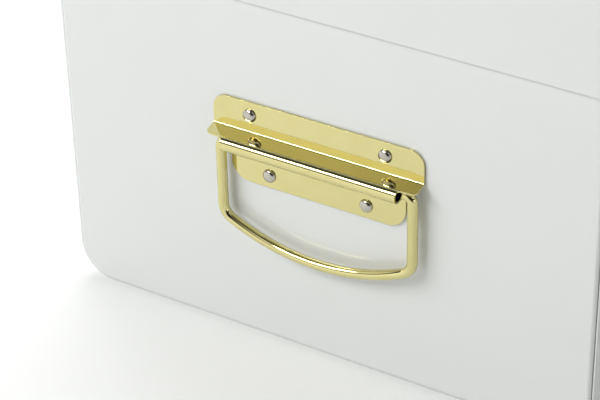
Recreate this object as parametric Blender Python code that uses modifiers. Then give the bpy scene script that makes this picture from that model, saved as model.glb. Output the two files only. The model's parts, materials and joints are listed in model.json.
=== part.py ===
"""Steel sewing box: hinged cap lid, two sliding trays, a drop handle on each end and two draw latches.

World frame: +X is the long axis, -Y the front, +Z up, and the origin is the middle of the base.
Fittings have a frame of their own: x leaves the wall that they sit on, y runs along it, z is up.
"""

import math

import bmesh
import bpy
from mathutils import Matrix, Vector

MM = 0.001

# Case and lid
CASE_LENGTH = 380 * MM
CASE_DEPTH = 278 * MM
SEAM_HEIGHT = 181 * MM
RIM_OVERLAP = 10 * MM
LID_HEIGHT = 56 * MM
WALL = 1.0 * MM
CASE_CORNER = 18 * MM
LID_CORNER = 20 * MM
END_BEND = 1.8 * MM
END_FLANGE = 12 * MM
WRAP_SETBACK = 1.5 * MM
FIT = 0.3 * MM
LID_SLIP = 0.4 * MM

# Trays and their rails
TRAY_SHEET = 0.8 * MM
TRAY_CORNER = 4 * MM
TRAY_FOOT = 1.5 * MM
TRAY_SIDE_ROOM = 1.5 * MM
TRAY_MIDDLE_ROOM = 1.0 * MM
RAIL_SHEET = 1.0 * MM
RAIL_LEG = 11 * MM
RAIL_BEND = 1.5 * MM
UPPER_RAIL_SHELF = 8 * MM
LOWER_RAIL_SHELF = 16 * MM
UPPER_RAIL_DROP = 11 * MM
LOWER_RAIL_DROP = 69 * MM
UPPER_TRAY_HEIGHT = 44 * MM
LOWER_TRAY_HEIGHT = 50 * MM
TRAY_LIP_GRIP = 1.2 * MM
TRAY_BODY_ROOM = 1.0 * MM
DIVIDER_SHEET = 0.8 * MM
DIVIDER_DROP = 5 * MM
UPPER_CROSS_DIVIDERS = 3
LOWER_CROSS_DIVIDERS = 2
LONG_DIVIDER_SHARE = 0.5

# Drop handles
HANDLE_HEIGHT = 123 * MM
PLATE_SHEET = 0.9 * MM
PLATE_HALF = 54.4 * MM
PLATE_ABOVE = 7.0 * MM
PLATE_CORNER = 7.4 * MM
PLATE_BEND = 0.9 * MM
SHELF_DROP = 8.7 * MM
SHELF_RUN = 7.05 * MM
SHELF_SLOPE = 11.4
EAR_CORNER = 2.5 * MM
NOTCH_TURN = 4
NOTCH_FILLET = 1.0 * MM
BARREL_HALF = 45.4 * MM
FOOT_CORNER = 9.5 * MM
FOOT_LENGTH = 17.5 * MM
UPPER_RIVETS = 35.0 * MM
LOWER_RIVETS = 25.3 * MM
LOWER_RIVETS_DROP = 29.3 * MM
ROD_RADIUS = 2.5 * MM
BORE_ROOM = 0.3 * MM
BAIL_SETBACK = 2.9 * MM
BAIL_PLAY = 1.3 * MM
BAIL_HALF = 49.8 * MM
BAIL_DROP = 53.5 * MM
BAIL_ARC = 100 * MM
BAIL_CORNER = 8.5 * MM
BAIL_SHOULDER = 4.1 * MM
ROD_END = 6 * MM

# Rivets: dome radius, dome height, shank radius
HANDLE_RIVET = (3.35 * MM, 1.7 * MM, 1.6 * MM)
SMALL_RIVET = (2.5 * MM, 1.2 * MM, 1.2 * MM)
RIVET_TAIL = 1.2 * MM
TAIL_SPREAD = 1.45
RIVET_HOLE_ROOM = 0.3 * MM
DRILL_LENGTH = 12 * MM

# Butt hinges
HINGE_SPREAD = 115 * MM
HINGE_SHEET = 1.0 * MM
HINGE_HALF = 22 * MM
HINGE_CORNER = 3 * MM
KNUCKLE_HALF = 7.5 * MM
PIN_RADIUS = 1.1 * MM
HINGE_DROP = 3 * MM
LEAF_LENGTH = 22 * MM
LEAF_RIVETS = 13 * MM
KNUCKLE_ROLL = 290
KNUCKLE_ROOM = 0.8 * MM
JOGGLE_ROOM = 1.6 * MM
JOGGLE_RUN = 2 * MM
LEAF_RIVET_SHARE = 0.6
LID_RIVETS = 15.2 * MM
LID_LEAF_TOP = 25 * MM

# Draw latches
LATCH_SPREAD = 95 * MM
LATCH_DROP = 17 * MM
LATCH_SHEET = 1.0 * MM
BASE_HALF = 11 * MM
BASE_BELOW = 27 * MM
BASE_ABOVE = 6 * MM
LATCH_PIN_OUT = 5.5 * MM
LATCH_PIN_RADIUS = 1.2 * MM
LUG_INNER = 6 * MM
LUG_RADIUS = 2.2 * MM
LEVER_HALF = 9 * MM
LEVER_BELOW = 31 * MM
LEVER_ABOVE = 2.2 * MM
LEVER_CHEEK = 11 * MM
LEVER_REACH = 3.5 * MM
LEVER_BACK = 2.3 * MM
LOOP_WIRE = 1.0 * MM
LOOP_PIVOT_OUT = 4.2 * MM
LOOP_PIVOT_DROP = 6.5 * MM
LOOP_CORNER = 3 * MM
CATCH_HALF = 8 * MM
HOOK_RADIUS = 1.3 * MM
HOOK_LIP = 3 * MM
LOOP_STAND_OFF = 0.5 * MM
LOOP_SIDE_ROOM = 0.9 * MM
HOOK_RISE = 6 * MM
BAR_OVER_HOOK = 1 * MM
CATCH_TOP = 22 * MM
FITTING_CORNER = 3 * MM
LEVER_BEND = 1.2 * MM
CHEEK_DEPTH = 2.2 * MM

# Sizes that follow
RIM_TOP = SEAM_HEIGHT + RIM_OVERLAP
LID_TOP = SEAM_HEIGHT + LID_HEIGHT
END_PLANE = CASE_LENGTH / 2
LID_PROUD = LID_SLIP + WALL
LID_END_PLANE = END_PLANE + LID_PROUD
LID_HALF_DEPTH = CASE_DEPTH / 2 + LID_PROUD
BARREL_RADIUS = ROD_RADIUS + BORE_ROOM + PLATE_SHEET
PIVOT_Z = SEAM_HEIGHT - LATCH_DROP
ARC_STEPS = 6
ROUND_SIDES = 16


def clear_scene():
    for obj in list(bpy.data.objects):
        bpy.data.objects.remove(obj, do_unlink=True)
    for data in list(bpy.data.meshes) + list(bpy.data.curves):
        if data.users == 0:
            (bpy.data.meshes if isinstance(data, bpy.types.Mesh) else bpy.data.curves).remove(data)


def make_collection(name):
    made = bpy.data.collections.new(name)
    bpy.context.scene.collection.children.link(made)
    return made


def make_material(name, colour, roughness, metallic):
    made = bpy.data.materials.new(name)
    made.use_nodes = True
    shader = made.node_tree.nodes["Principled BSDF"]
    shader.inputs["Base Color"].default_value = (*colour, 1)
    shader.inputs["Roughness"].default_value = roughness
    shader.inputs["Metallic"].default_value = metallic
    made.diffuse_color = (*colour, 1)
    return made


def place(name, data, finish, parent=None, at=(0, 0, 0)):
    """Adds one named part in its finish, with a material of its own."""
    obj = bpy.data.objects.new(name, data)
    PARTS.objects.link(obj)
    data.materials.clear()
    data.materials.append(make_material(name, *finish))
    obj.parent = parent
    obj.location = at
    return obj


def mount_frame(name, at, turn):
    """An empty whose x leaves the wall that a fitting sits on."""
    empty = bpy.data.objects.new(name, None)
    PARTS.objects.link(empty)
    empty.location = at
    empty.rotation_euler = (0, 0, math.radians(turn))
    empty.empty_display_size = 0.02
    return empty


def to_mesh(bm, name, angle=30):
    """The finished mesh. The faces of an open sheet look away from its middle, as its widest one does."""
    bmesh.ops.recalc_face_normals(bm, faces=bm.faces)
    widest = max(bm.faces, key=lambda face: face.calc_area())
    middle = sum((vert.co for vert in bm.verts), Vector()) / len(bm.verts)
    is_open = any(edge.is_boundary for edge in bm.edges)
    if is_open and widest.normal.dot(widest.calc_center_median() - middle) < 0:
        bmesh.ops.reverse_faces(bm, faces=bm.faces)
    mesh = bpy.data.meshes.new(name)
    bm.to_mesh(mesh)
    bm.free()
    mesh.shade_smooth()
    mesh.set_sharp_from_angle(angle=math.radians(angle))
    return mesh


def thicken(obj, thickness):
    """Gives an open sheet its thickness, away from its visible side."""
    wall = obj.modifiers.new("sheet", "SOLIDIFY")
    wall.thickness = thickness
    wall.offset = -1
    wall.use_even_offset = True


def baked(obj):
    """The part's mesh with its modifiers in it, so that copies of the part can share it."""
    bpy.context.view_layer.update()
    graph = bpy.context.evaluated_depsgraph_get()
    mesh = bpy.data.meshes.new_from_object(obj.evaluated_get(graph))
    for modifier in obj.modifiers:
        if modifier.type == "BOOLEAN":
            bpy.data.objects.remove(modifier.object, do_unlink=True)
    bpy.data.objects.remove(obj, do_unlink=True)
    return mesh


def boolean(obj, cutter, operation="DIFFERENCE"):
    change = obj.modifiers.new(cutter.name, "BOOLEAN")
    change.object = cutter
    change.operation = operation


def make_cutter(name, bm):
    cutter = bpy.data.objects.new(name, to_mesh(bm, name))
    CUTTERS.objects.link(cutter)
    cutter.hide_render = True
    cutter.display_type = "WIRE"
    return cutter


def add_box(bm, low, high):
    size = [top - bottom for bottom, top in zip(low, high)]
    middle = [(top + bottom) / 2 for bottom, top in zip(low, high)]
    matrix = Matrix.Translation(middle) @ Matrix.Diagonal((*size, 1))
    return bmesh.ops.create_cube(bm, size=1, matrix=matrix)


def add_rod(bm, matrix, radius, length):
    """A cylinder along the matrix's z axis, centred on it."""
    bmesh.ops.create_cone(
        bm, cap_ends=True, segments=ROUND_SIDES,
        radius1=radius, radius2=radius, depth=length, matrix=matrix,
    )


def drill(obj, matrices, radius, length):
    """Cuts a round hole at each matrix, along its z axis."""
    bm = bmesh.new()
    for matrix in matrices:
        add_rod(bm, matrix, radius, length)
    boolean(obj, make_cutter("drill_" + obj.name, bm))


def carve(obj, boxes, label="carve_"):
    """Cuts the boxes, each given by its low and high corner, out of a part."""
    bm = bmesh.new()
    for low, high in boxes:
        add_box(bm, low, high)
    boolean(obj, make_cutter(label + obj.name, bm))


def arc(centre, radius, start, end, steps=ARC_STEPS):
    """Points round a centre from one angle to another, both in degrees."""
    angles = [math.radians(start + (end - start) * i / steps) for i in range(steps + 1)]
    return [(centre[0] + radius * math.cos(a), centre[1] + radius * math.sin(a)) for a in angles]


def rows_of(points, half):
    return [(out, up, half) for out, up in points]


def rounded_end(out, end, toward, half, radius, steps=5):
    """Rows from a sheet's end inwards, whose two corners are quarter circles."""
    rows = []
    for i in range(steps + 1):
        angle = math.radians(90 * i / steps)
        inset = radius * (1 - math.sin(angle))
        rows.append((out, end + toward * radius * (1 - math.cos(angle)), half - inset))
    return rows


def bent_sheet(name, rows):
    """A strip bent along its length. A row is (out, up, half width), and it faces out on its way down."""
    bm = bmesh.new()
    pairs = [[bm.verts.new((out, side * half, up)) for side in (-1, 1)] for out, up, half in rows]
    for upper, lower in zip(pairs, pairs[1:]):
        bm.faces.new((upper[0], lower[0], lower[1], upper[1]))
    mesh = bpy.data.meshes.new(name)
    bm.to_mesh(mesh)
    bm.free()
    mesh.shade_smooth()
    mesh.set_sharp_from_angle(angle=math.radians(35))
    return mesh


def folded_box(low, high, open_sides, folds):
    """A cube with its open sides taken off and its folds rounded. A side is (axis, sign)."""
    bm = bmesh.new()
    add_box(bm, low, high)
    taken = [
        face for face in bm.faces
        if any(face.normal[axis] * sign > 0.5 for axis, sign in open_sides)
    ]
    bmesh.ops.delete(bm, geom=taken, context="FACES")
    for is_fold, radius, steps in folds:
        edges = [edge for edge in bm.edges if edge.is_manifold and is_fold(edge)]
        bmesh.ops.bevel(
            bm, geom=edges, offset=radius, segments=steps, profile=0.5, affect="EDGES", clamp_overlap=False
        )
    return bm


def level(edge, axis, value):
    """Whether both ends of an edge lie at one value of an axis."""
    return all(abs(vert.co[axis] - value) < 1e-5 for vert in edge.verts)


def runs_along_x(edge):
    return abs(edge.verts[0].co.y - edge.verts[1].co.y) < 1e-5


def seat(x, y, z, turn):
    """A place on a wall whose z axis leaves the wall. Turn is the wall's heading from +X, in degrees."""
    heading = Matrix.Rotation(math.radians(turn), 4, "Z")
    return Matrix.Translation((x, y, z)) @ heading @ Matrix.Rotation(math.radians(90), 4, "Y")


def lifted(seats, height):
    """The same seats, higher off their wall."""
    return [matrix @ Matrix.Translation((0, 0, height)) for matrix in seats]


def rivet_mesh(kind, grip):
    """A turned rivet: dome above z 0, shank through the sheets' total grip, flattened tail behind them."""
    dome, height, shank = kind
    tail_top = -grip - FIT
    tail = tail_top - RIVET_TAIL
    turns = [math.radians(angle) for angle in (62, 36, 14, 0)]
    crown = [(dome * math.cos(turn), FIT + height * math.sin(turn)) for turn in turns]
    profile = [(0, FIT + height)] + crown + [(shank, FIT), (shank, tail_top)]
    profile += [(shank * TAIL_SPREAD, tail_top), (shank * TAIL_SPREAD, tail), (0, tail)]
    mesh = bpy.data.meshes.new("rivet")
    points = [(x, 0, z) for x, z in profile]
    mesh.from_pydata(points, [(i, i + 1) for i in range(len(points) - 1)], [])
    pattern = bpy.data.objects.new("rivet", mesh)
    PARTS.objects.link(pattern)
    turn = pattern.modifiers.new("turn", "SCREW")
    turn.steps = 12
    turn.render_steps = 12
    turn.use_merge_vertices = True
    turn.merge_threshold = 0.00001
    return baked(pattern)


def rivets(label, matrices, kind, grip, finish):
    """One rivet at each seat, its dome outside."""
    pattern = rivet_mesh(kind, grip)
    for number, matrix in enumerate(matrices, 1):
        rivet = place(label + "_rivet_" + str(number), pattern.copy(), finish)
        rivet.matrix_world = matrix
    bpy.data.meshes.remove(pattern)


def wire(name, points, radius, finish, parent, at, closed=False, sides=3):
    """A bent round rod along points in its own frame, with filled ends."""
    curve = bpy.data.curves.new(name, "CURVE")
    curve.dimensions = "3D"
    curve.bevel_depth = radius
    curve.bevel_resolution = sides
    curve.use_fill_caps = True
    spline = curve.splines.new("POLY")
    spline.points.add(len(points) - 1)
    for point, co in zip(spline.points, points):
        point.co = (*co, 1)
    spline.use_cyclic_u = closed
    return place(name, curve, finish, parent, at)


def make_case():
    half_depth = CASE_DEPTH / 2
    wrap_half = END_PLANE - WRAP_SETBACK
    bm = folded_box(
        (-wrap_half, -half_depth, 0), (wrap_half, half_depth, RIM_TOP), [(0, 1), (0, -1), (2, 1)],
        [(lambda edge: level(edge, 2, 0) and runs_along_x(edge), CASE_CORNER, 8)],
    )
    wrap = place("case_wrap", to_mesh(bm, "case_wrap"), WHITE)
    thicken(wrap, WALL)
    drill(wrap, hinge_rivet_seats(-1), SMALL_RIVET[2] + RIVET_HOLE_ROOM, DRILL_LENGTH)
    dish_half = half_depth - WALL - FIT
    floor = WALL + FIT
    for side, name, rivet_seats in ((1, "right", handle_seats(1)), (-1, "left", handle_seats(-1))):
        ends = sorted((side * END_PLANE, side * (END_PLANE - END_FLANGE)))
        bm = folded_box(
            (ends[0], -dish_half, floor), (ends[1], dish_half, RIM_TOP), [(0, -side), (2, 1)],
            [
                (lambda edge: level(edge, 2, floor) and runs_along_x(edge), CASE_CORNER - floor, 8),
                (lambda edge, plane=side * END_PLANE: level(edge, 0, plane), END_BEND, 3),
            ],
        )
        end = place("case_end_" + name, to_mesh(bm, "case_end_" + name), WHITE)
        thicken(end, WALL)
        drill(end, rivet_seats, HANDLE_RIVET[2] + RIVET_HOLE_ROOM, DRILL_LENGTH)


def make_lid():
    wrap_half = LID_END_PLANE - WRAP_SETBACK
    bm = folded_box(
        (-wrap_half, -LID_HALF_DEPTH, SEAM_HEIGHT), (wrap_half, LID_HALF_DEPTH, LID_TOP),
        [(0, 1), (0, -1), (2, -1)],
        [(lambda edge: level(edge, 2, LID_TOP) and runs_along_x(edge), LID_CORNER, 8)],
    )
    wrap = place("lid_wrap", to_mesh(bm, "lid_wrap"), WHITE)
    thicken(wrap, WALL)
    drill(wrap, hinge_rivet_seats(1), SMALL_RIVET[2] + RIVET_HOLE_ROOM, DRILL_LENGTH)
    dish_half = LID_HALF_DEPTH - WALL - FIT
    ceiling = LID_TOP - WALL - FIT
    flange_foot = RIM_TOP + FIT
    for side, name in ((1, "right"), (-1, "left")):
        ends = sorted((side * LID_END_PLANE, side * (LID_END_PLANE - END_FLANGE)))
        bm = folded_box(
            (ends[0], -dish_half, SEAM_HEIGHT), (ends[1], dish_half, ceiling), [(0, -side), (2, -1)],
            [
                (lambda edge: level(edge, 2, ceiling) and runs_along_x(edge), LID_CORNER - WALL - FIT, 8),
                (lambda edge, plane=side * LID_END_PLANE: level(edge, 0, plane), END_BEND, 3),
            ],
        )
        everything = bm.verts[:] + bm.edges[:] + bm.faces[:]
        bmesh.ops.bisect_plane(bm, geom=everything, plane_co=(0, 0, flange_foot), plane_no=(0, 0, 1))
        bend_line = LID_END_PLANE - END_BEND
        flange = [
            face for face in bm.faces
            if face.calc_center_median().z < flange_foot and abs(face.calc_center_median().x) < bend_line
        ]
        bmesh.ops.delete(bm, geom=flange, context="FACES")
        end = place("lid_end_" + name, to_mesh(bm, "lid_end_" + name), WHITE)
        thicken(end, WALL)


def handle_rivet_spots():
    """The four rivets of a drop handle in its own frame, as (along, up)."""
    upper = [(side * UPPER_RIVETS, 0) for side in (-1, 1)]
    return upper + [(side * LOWER_RIVETS, -LOWER_RIVETS_DROP) for side in (-1, 1)]


def handle_seats(side):
    """Where the four rivets of one drop handle sit on the end wall."""
    turn = 0 if side > 0 else 180
    return [seat(side * END_PLANE, side * y, HANDLE_HEIGHT + z, turn) for y, z in handle_rivet_spots()]


def shelf_edge():
    """The shelf's outer edge in the handle's frame, as (out, up)."""
    slope = math.radians(SHELF_SLOPE)
    out = FIT + PLATE_SHEET + PLATE_BEND * (1 - math.sin(slope)) + SHELF_RUN * math.cos(slope)
    up = -SHELF_DROP + PLATE_BEND * (1 - math.cos(slope)) - SHELF_RUN * math.sin(slope)
    return out, up


def barrel_middle():
    """The middle of the barrel's round front in the handle's frame, as (out, up)."""
    slope = math.radians(SHELF_SLOPE)
    out, up = shelf_edge()
    return out - BARREL_RADIUS * math.sin(slope), up - BARREL_RADIUS * math.cos(slope)


def plate_rows():
    """The handle plate's visible side from its top edge down: flange, shelf with ears, barrel, foot."""
    front = FIT + PLATE_SHEET
    slope = math.radians(SHELF_SLOPE)
    rows = rounded_end(front, PLATE_ABOVE, -1, PLATE_HALF, PLATE_CORNER)
    valley = (front + PLATE_BEND, -SHELF_DROP + PLATE_BEND)
    rows += rows_of(arc(valley, PLATE_BEND, 180, 270 - SHELF_SLOPE, 3), PLATE_HALF)
    edge = shelf_edge()
    for back, drop in arc((0, 0), EAR_CORNER, 0, 90, 5):
        to_edge = EAR_CORNER - drop
        half = PLATE_HALF - EAR_CORNER + back
        rows.append((edge[0] - to_edge * math.cos(slope), edge[1] + to_edge * math.sin(slope), half))
    barrel = barrel_middle()
    roll = arc(barrel, BARREL_RADIUS, 90 - SHELF_SLOPE - NOTCH_TURN, -90, 12)
    rows.append((*roll[0], BARREL_HALF + NOTCH_FILLET))
    rows += rows_of(roll[1:], BARREL_HALF)
    foot_bend = (front + PLATE_BEND, barrel[1] - BARREL_RADIUS - PLATE_BEND)
    rows += rows_of(arc(foot_bend, PLATE_BEND, 90, 180, 3), BARREL_HALF)
    foot_end = foot_bend[1] - FOOT_LENGTH
    rows += rounded_end(front, foot_end, 1, BARREL_HALF, FOOT_CORNER)[::-1]
    return rows


def bail_points():
    """The bail's centre line: rod ends in the barrel, shoulders, legs, corners and a bowed grip."""
    bow = (0, BAIL_ARC - BAIL_DROP)
    corner_y = BAIL_HALF - BAIL_CORNER
    corner_z = bow[1] - math.sqrt((BAIL_ARC - BAIL_CORNER) ** 2 - corner_y**2)
    turn = math.degrees(math.atan2(corner_z - bow[1], corner_y))
    side = [(ROD_END, 0)]
    side += arc((BAIL_HALF - BAIL_SHOULDER, -BAIL_SHOULDER), BAIL_SHOULDER, 90, 0, 5)
    side += arc((corner_y, corner_z), BAIL_CORNER, 0, turn, 5)
    side += arc(bow, BAIL_ARC, turn, -90, 6)[1:-1]
    middle = [(0, -BAIL_DROP)]
    points = side + middle + [(-y, z) for y, z in side[::-1]]
    return [(0, y, z) for y, z in points]


def make_handles():
    rows = plate_rows()
    pattern = place("plate_pattern", bent_sheet("handle_plate", rows), GOLD)
    thicken(pattern, PLATE_SHEET)
    holes = [seat(0, y, z, 0) for y, z in handle_rivet_spots()]
    drill(pattern, holes, HANDLE_RIVET[2] + RIVET_HOLE_ROOM, DRILL_LENGTH)
    mesh = baked(pattern)
    out, up = barrel_middle()
    bail_at = (out - BAIL_SETBACK, BAIL_PLAY, up)
    for side, name, turn in ((1, "right", 0), (-1, "left", 180)):
        frame = mount_frame("handle_" + name, (side * END_PLANE, 0, HANDLE_HEIGHT), turn)
        place("handle_" + name + "_plate", mesh.copy(), GOLD, frame)
        grip = WALL + FIT + PLATE_SHEET
        rivets("handle_" + name, lifted(handle_seats(side), FIT + PLATE_SHEET), HANDLE_RIVET, grip, NICKEL)
        wire("handle_" + name + "_bail", bail_points(), ROD_RADIUS, GOLD, frame, bail_at)
    bpy.data.meshes.remove(mesh)


def hinge_rivet_seats(part):
    """Rivets of both hinges on the back: part -1 is the case's leaf, +1 the lid's leaf."""
    if part < 0:
        wall, height = CASE_DEPTH / 2, SEAM_HEIGHT - HINGE_DROP - LEAF_RIVETS - KNUCKLE_ROOM
    else:
        wall, height = LID_HALF_DEPTH, SEAM_HEIGHT + LID_RIVETS
    reach = HINGE_HALF * LEAF_RIVET_SHARE
    places = [side * HINGE_SPREAD + step for side in (1, -1) for step in (-reach, reach)]
    return [seat(x, wall, height, 90) for x in places]


def hinge_pin_out():
    """How far the hinge axis stands behind the case's back wall."""
    return LID_PROUD + FIT + HINGE_SHEET + FIT + PIN_RADIUS


def make_hinges():
    bore = PIN_RADIUS + FIT
    pin_out = hinge_pin_out()
    axis = (pin_out, 0)
    lid_skin = pin_out - bore
    case_skin = FIT + HINGE_SHEET
    end_turn = 180 - KNUCKLE_ROLL
    joggle = bore + HINGE_SHEET + JOGGLE_ROOM
    case_roll = arc(axis, bore, end_turn, 180, 12)
    case_rows = rows_of(case_roll, HINGE_HALF)
    case_rows += rows_of([(lid_skin, -joggle), (case_skin, -joggle - JOGGLE_RUN)], HINGE_HALF)
    case_rows += rounded_end(case_skin, -LEAF_LENGTH, 1, HINGE_HALF, HINGE_CORNER)[::-1]
    lid_rows = rounded_end(lid_skin, LID_LEAF_TOP, -1, HINGE_HALF, HINGE_CORNER)
    lid_rows += rows_of(arc(axis, bore, 180, 360 - end_turn, 12), HINGE_HALF)
    knuckle = bore + HINGE_SHEET
    notch = knuckle + KNUCKLE_ROOM
    far = pin_out + 2 * knuckle
    case_notch = [((0, -KNUCKLE_HALF, -notch), (far, KNUCKLE_HALF, notch))]
    inner = KNUCKLE_HALF - FIT
    lid_notch = [
        ((0, inner, -notch), (far, 2 * HINGE_HALF, notch)),
        ((0, -2 * HINGE_HALF, -notch), (far, -inner, notch)),
    ]
    back = CASE_DEPTH / 2
    axis_height = SEAM_HEIGHT - HINGE_DROP
    leaf_meshes = []
    for label, rows, boxes, seats in (
        ("case", case_rows, case_notch, hinge_rivet_seats(-1)),
        ("lid", lid_rows, lid_notch, hinge_rivet_seats(1)),
    ):
        pattern = place("leaf_pattern", bent_sheet("hinge_leaf", rows), GOLD)
        thicken(pattern, HINGE_SHEET)
        carve(pattern, boxes)
        height = seats[0].translation.z - axis_height
        spots = [seat(0, s * HINGE_HALF * LEAF_RIVET_SHARE, height, 0) for s in (-1, 1)]
        drill(pattern, spots, SMALL_RIVET[2] + RIVET_HOLE_ROOM, DRILL_LENGTH)
        leaf_meshes.append((label, baked(pattern)))
    for side, name in ((1, "right"), (-1, "left")):
        frame = mount_frame("hinge_" + name, (side * HINGE_SPREAD, back, axis_height), 90)
        for label, mesh in leaf_meshes:
            place("hinge_" + name + "_" + label + "_leaf", mesh.copy(), GOLD, frame)
        bm = bmesh.new()
        along = Matrix.Rotation(math.radians(90), 4, "X")
        add_rod(bm, along, PIN_RADIUS, 2 * HINGE_HALF + 2 * FIT)
        place("hinge_" + name + "_pin", to_mesh(bm, "hinge_pin"), NICKEL, frame, (pin_out, 0, 0))
    for label, part in (("hinge_case", -1), ("hinge_lid", 1)):
        seats = lifted(hinge_rivet_seats(part), FIT + HINGE_SHEET)
        rivets(label, seats, SMALL_RIVET, WALL + FIT + HINGE_SHEET, NICKEL)


def catch_hook():
    """The catch's hook in the latch's frame: where its bend starts, and how far out its lip stands."""
    skin = LID_PROUD + FIT + LATCH_SHEET
    height = SEAM_HEIGHT + HOOK_RISE - PIVOT_Z
    return skin, height, skin + 2 * HOOK_RADIUS + LATCH_SHEET


def make_latch_base(frame, name):
    plate = FIT + LATCH_SHEET
    lug_outer = LUG_INNER + LATCH_SHEET
    rows = rounded_end(plate, BASE_ABOVE, -1, BASE_HALF, FITTING_CORNER)
    rows += rounded_end(plate, -BASE_BELOW, 1, BASE_HALF, FITTING_CORNER)[::-1]
    base = place("latch_" + name + "_base", bent_sheet("latch_base", rows), GOLD, frame)
    thicken(base, LATCH_SHEET)
    across = Matrix.Rotation(math.radians(90), 4, "X")
    for side in (-1, 1):
        middle = side * (LUG_INNER + lug_outer) / 2
        bm = bmesh.new()
        add_box(
            bm, (plate - LATCH_SHEET / 2, middle - LATCH_SHEET / 2, -LUG_RADIUS),
            (LATCH_PIN_OUT, middle + LATCH_SHEET / 2, LUG_RADIUS),
        )
        lug = make_cutter("lug_arm", bm)
        lug.parent = frame
        boolean(base, lug, "UNION")
        bm = bmesh.new()
        add_rod(bm, Matrix.Translation((LATCH_PIN_OUT, middle, 0)) @ across, LUG_RADIUS, LATCH_SHEET)
        eye = make_cutter("lug_eye", bm)
        eye.parent = frame
        boolean(base, eye, "UNION")
    bm = bmesh.new()
    add_rod(bm, Matrix.Translation((LATCH_PIN_OUT, 0, 0)) @ across, LATCH_PIN_RADIUS + FIT, 3 * lug_outer)
    bore = make_cutter("lug_bore", bm)
    bore.parent = frame
    boolean(base, bore)


def make_lever(frame, name):
    """The channel-shaped lever hangs from the pin, its free end down; its origin is the pin's axis."""
    bm = folded_box(
        (-LEVER_BACK, -LEVER_HALF, -LEVER_BELOW), (LEVER_REACH, LEVER_HALF, LEVER_ABOVE),
        [(0, -1), (2, 1), (2, -1)], [(lambda edge: level(edge, 0, LEVER_REACH), LEVER_BEND, 3)],
    )
    lever = place(
        "latch_" + name + "_lever", to_mesh(bm, "latch_lever"), GOLD, frame, (LATCH_PIN_OUT, 0, 0)
    )
    thicken(lever, LATCH_SHEET)
    bm = bmesh.new()
    add_box(
        bm, (-2 * LEVER_BACK, -2 * LEVER_HALF, -2 * LEVER_BELOW),
        (LEVER_REACH - CHEEK_DEPTH, 2 * LEVER_HALF, -LEVER_CHEEK),
    )
    across = Matrix.Rotation(math.radians(90), 4, "X")
    loop_at = Matrix.Translation((LOOP_PIVOT_OUT - LATCH_PIN_OUT, 0, -LOOP_PIVOT_DROP))
    add_rod(bm, across, LATCH_PIN_RADIUS + FIT, 4 * LEVER_HALF)
    add_rod(bm, loop_at @ across, LOOP_WIRE + FIT, 4 * LEVER_HALF)
    cut = make_cutter("lever_cut", bm)
    cut.parent = lever
    boolean(lever, cut)


def make_loop(frame, name):
    """The wire loop: its turned-in ends are its pivot, and its origin is their axis."""
    _, hook_height, lip_out = catch_hook()
    bar_out = lip_out + LOOP_STAND_OFF + LOOP_WIRE - LOOP_PIVOT_OUT
    bar_up = hook_height + BAR_OVER_HOOK + LOOP_PIVOT_DROP
    length = math.hypot(bar_out, bar_up)
    lean = (bar_out / length, bar_up / length)
    half = LEVER_HALF + LOOP_SIDE_ROOM + LOOP_WIRE
    end = LEVER_HALF - LATCH_SHEET - 2 * FIT
    bend = LOOP_WIRE * 1.5
    side = [(end, 0)]
    side += arc((half - bend, bend), bend, -90, 0, 3)
    side += arc((half - LOOP_CORNER, length - LOOP_CORNER), LOOP_CORNER, 0, 90, 4)
    flat = side + [(-y, run) for y, run in side[::-1]]
    points = [(run * lean[0], y, run * lean[1]) for y, run in flat]
    at = (LOOP_PIVOT_OUT, 0, -LOOP_PIVOT_DROP)
    wire("latch_" + name + "_loop", points, LOOP_WIRE, GOLD, frame, at, sides=2)


def make_catch(frame, name):
    skin, hook_height, _ = catch_hook()
    top = SEAM_HEIGHT + CATCH_TOP - PIVOT_Z
    rows = rounded_end(skin, top, -1, CATCH_HALF, FITTING_CORNER)
    rows += rows_of(arc((skin + HOOK_RADIUS, hook_height), HOOK_RADIUS, 180, 360, 8), CATCH_HALF)
    lip = rounded_end(skin + 2 * HOOK_RADIUS, hook_height + HOOK_LIP, -1, CATCH_HALF, FITTING_CORNER / 2, 3)
    rows += lip[::-1]
    catch = place("latch_" + name + "_catch", bent_sheet("latch_catch", rows), GOLD, frame)
    thicken(catch, LATCH_SHEET)


def make_latches():
    across = Matrix.Rotation(math.radians(90), 4, "X")
    for side, name in ((1, "right"), (-1, "left")):
        frame = mount_frame("latch_" + name, (side * LATCH_SPREAD, -CASE_DEPTH / 2, PIVOT_Z), -90)
        make_latch_base(frame, name)
        make_lever(frame, name)
        make_loop(frame, name)
        make_catch(frame, name)
        bm = bmesh.new()
        add_rod(bm, across, LATCH_PIN_RADIUS, 2 * LEVER_HALF + 2 * FIT)
        place("latch_" + name + "_pin", to_mesh(bm, "latch_pin"), NICKEL, frame, (LATCH_PIN_OUT, 0, 0))


def make_rail(name, side, top, shelf):
    """An angle strip welded inside an end wall, whose shelf carries a tray's lip."""
    wall = END_PLANE - WALL - FIT
    half = CASE_DEPTH / 2 - 2 * WALL - 3 * FIT
    rows = rows_of([(wall + FIT - shelf, top)], half)
    rows += rows_of(arc((wall - RAIL_BEND, top - RAIL_BEND), RAIL_BEND, 90, 0, 3), half)
    rows += rows_of([(wall, top - RAIL_LEG)], half)
    rail = place(name, bent_sheet(name, rows), WHITE)
    rail.rotation_euler = (0, 0, 0 if side > 0 else math.pi)
    thicken(rail, RAIL_SHEET)


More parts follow.
